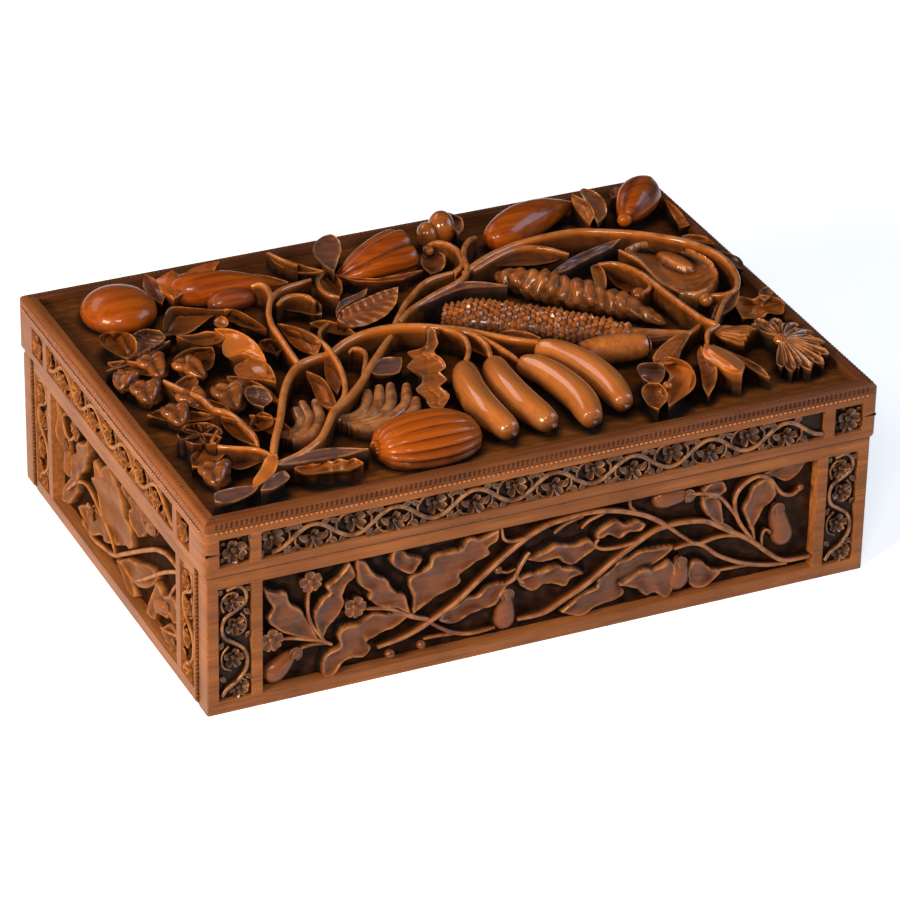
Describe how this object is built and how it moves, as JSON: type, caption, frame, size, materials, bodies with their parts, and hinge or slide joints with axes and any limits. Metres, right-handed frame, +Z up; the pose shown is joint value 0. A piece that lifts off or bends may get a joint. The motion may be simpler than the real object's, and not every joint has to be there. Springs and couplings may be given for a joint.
{
  "type": "carved keepsake box",
  "caption": "Rectangular hardwood box with a hinged lid, carved in deep relief with vines, leaves, fruit and flowers, for papers and keepsakes.",
  "frame": {"origin": "middle of the base board's underside", "axes": "+X along the front towards the right end, +Y towards the hinged back, +Z up"},
  "size_m": [0.303, 0.2135, 0.1024],
  "materials": {
    "frame_wood": "satin oiled hardwood",
    "carved_wood": "satin oiled hardwood, darker in the hollows",
    "polished_fruit_wood": "polished hardwood",
    "ground_wood": "dark hardwood ground",
    "hinge_brass": "aged brass"
  },
  "bodies": {
    "case": {"base_board": "frame_wood", "front_wall": "frame_wood", "right_wall": "frame_wood", "back_wall": "frame_wood", "left_wall": "frame_wood", "front_leaf_panel": "carved_wood", "right_leaf_panel": "carved_wood", "back_leaf_panel": "carved_wood", "left_leaf_panel": "carved_wood", "upright_scroll_panels": "carved_wood", "rope_strips": "frame_wood", "left_hinge_lower_leaf": "hinge_brass", "right_hinge_lower_leaf": "hinge_brass", "left_hinge_pin": "hinge_brass", "right_hinge_pin": "hinge_brass", "hinge_case_screws": "hinge_brass"},
    "lid": {"lid_top_board": "ground_wood", "lid_front_rail": "frame_wood", "lid_right_rail": "frame_wood", "lid_back_rail": "frame_wood", "lid_left_rail": "frame_wood", "lid_front_border": "frame_wood", "lid_right_border": "frame_wood", "lid_back_border": "frame_wood", "lid_left_border": "frame_wood", "lid_long_scroll_bands": "carved_wood", "lid_short_scroll_bands": "carved_wood", "lid_rosettes": "carved_wood", "left_hinge_upper_leaf": "hinge_brass", "right_hinge_upper_leaf": "hinge_brass", "hinge_lid_screws": "hinge_brass", "carved_finger_fruit": "polished_fruit_wood", "carved_melon": "polished_fruit_wood", "carved_maize_cob": "carved_wood", "carved_ridged_gourd": "carved_wood", "carved_round_fruit": "polished_fruit_wood", "carved_left_aubergine": "polished_fruit_wood", "carved_right_aubergine": "polished_fruit_wood", "carved_corner_fruit": "polished_fruit_wood", "carved_star_fruit": "polished_fruit_wood", "carved_pod": "polished_fruit_wood", "carved_vines": "carved_wood", "carved_trumpet_flower": "carved_wood", "carved_bell_flower": "carved_wood", "carved_daisy": "carved_wood", "carved_buds": "carved_wood", "carved_leaves": "carved_wood"}
  },
  "joints": [
    {"name": "lid_hinge", "type": "hinge", "parent": "case", "child": "lid", "pos_m": [0, 0.103, 0.064], "axis": [-1, 0, 0], "range_deg": [0, 98]}
  ]
}
